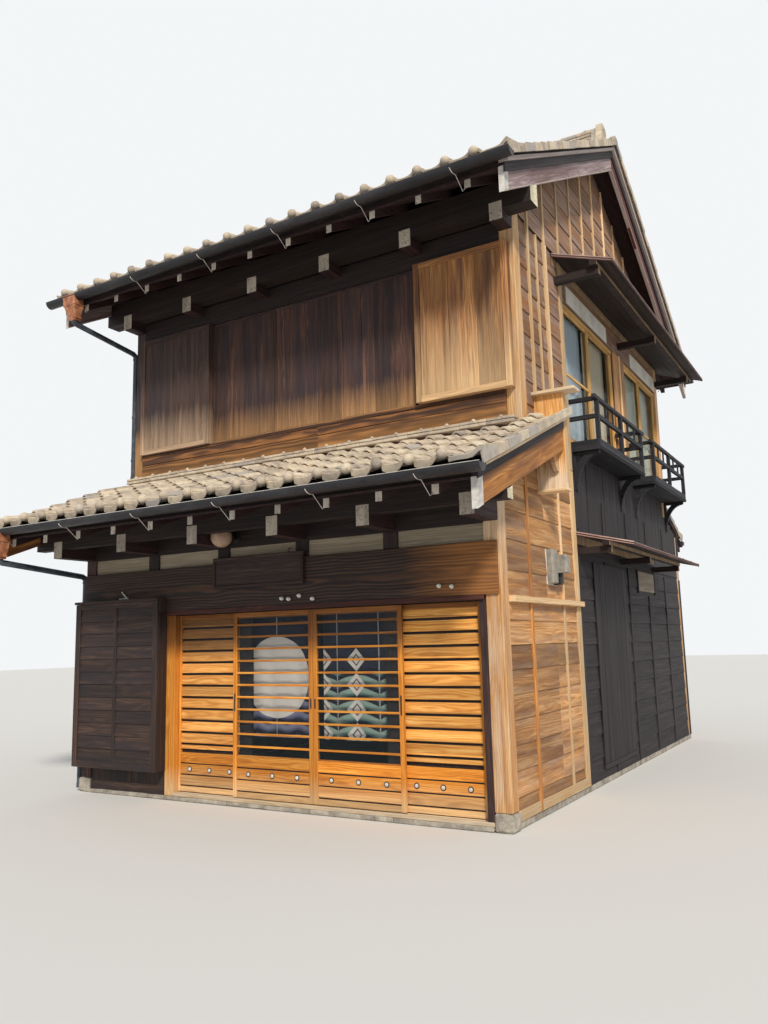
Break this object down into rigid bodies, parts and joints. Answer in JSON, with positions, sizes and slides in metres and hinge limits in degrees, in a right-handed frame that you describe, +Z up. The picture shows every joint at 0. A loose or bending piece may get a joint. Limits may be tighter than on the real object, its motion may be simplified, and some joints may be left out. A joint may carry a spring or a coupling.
{
  "type": "machiya townhouse",
  "caption": "Two-storey Japanese timber townhouse with tiled gable roof, tiled lower front roof, sliding front doors, shutter boxes and side balconies",
  "frame": {"origin": "middle of the whole footprint's box, at ground level", "axes": "+X to the right along the street front, +Y from the front into the house, +Z up"},
  "size_m": [6.18, 8.825, 8.1303],
  "materials": {
    "stone": "rough",
    "pale_post_wood": "weathered",
    "bleached_sill": "worn",
    "dark_beam_wood": "stained",
    "pale_panel_wood": "weathered",
    "front_board_wood": "weathered",
    "door_wood": "varnished",
    "glass": "clear",
    "side_board_wood": "weathered",
    "party_wall_wood": "weathered",
    "floor_wood": "plain",
    "frame_wood": "stained",
    "roof_tile": "smoked clay",
    "barge_wood": "weathered",
    "gutter_metal": "matte",
    "pipe_metal": "matte",
    "sheet_roof": "matte",
    "sign_wood": "stained",
    "lamp_glass": "opal",
    "meter_plastic": "plain",
    "indigo_cloth": "woven"
  },
  "bodies": {
    "house": {"plinth": "stone", "ground_floor": "stone", "lower_posts": "pale_post_wood", "door_threshold": "bleached_sill", "front_beams": "dark_beam_wood", "front_lintel": "dark_beam_wood", "transom_panels": "pale_panel_wood", "lower_front_wall": "front_board_wood", "lower_shutter_box": "dark_beam_wood", "lower_right_wall": "side_board_wood", "left_wall": "party_wall_wood", "rear_wall": "party_wall_wood", "upper_floor": "floor_wood", "upper_posts": "pale_post_wood", "upper_front_wall": "front_board_wood", "upper_front_head": "dark_beam_wood", "upper_shutter_boxes": "front_board_wood", "rain_shutters": "front_board_wood", "upper_right_wall": "side_board_wood", "window_frames": "frame_wood", "window_glass": "glass", "right_gable": "side_board_wood", "arms": "dark_beam_wood", "eave_purlins": "dark_beam_wood", "roof_beams": "dark_beam_wood", "rafters": "dark_beam_wood", "roof_boards": "dark_beam_wood", "pent_tiles": "roof_tile", "main_tiles": "roof_tile", "ridge": "roof_tile", "bargeboards": "barge_wood", "verge_box": "barge_wood", "gutters": "gutter_metal", "downpipes": "pipe_metal", "side_canopy": "sheet_roof", "lean_to_roof": "sheet_roof", "side_roof_frames": "frame_wood", "balconies": "frame_wood", "signboard": "sign_wood", "lamp": "lamp_glass", "meter_box": "meter_plastic", "door_cloths": "indigo_cloth"},
    "glazed_right": {"glazed_door_right": "door_wood", "door_glass_right": "glass"},
    "glazed_left": {"glazed_door_left": "door_wood", "door_glass_left": "glass"},
    "louvre_right": {"louvre_door_right": "door_wood"},
    "louvre_left": {"louvre_door_left": "door_wood"}
  },
  "joints": [
    {"name": "glazed_right_slide", "type": "slide", "parent": "house", "child": "glazed_right", "axis": [1, 0, 0], "range_m": [0, 0.76]},
    {"name": "glazed_left_slide", "type": "slide", "parent": "house", "child": "glazed_left", "axis": [-1, 0, 0], "range_m": [0, 0.76]},
    {"name": "louvre_right_slide", "type": "slide", "parent": "house", "child": "louvre_right", "axis": [-1, 0, 0], "range_m": [0, 0.76]},
    {"name": "louvre_left_slide", "type": "slide", "parent": "house", "child": "louvre_left", "axis": [1, 0, 0], "range_m": [0, 0.76]}
  ]
}
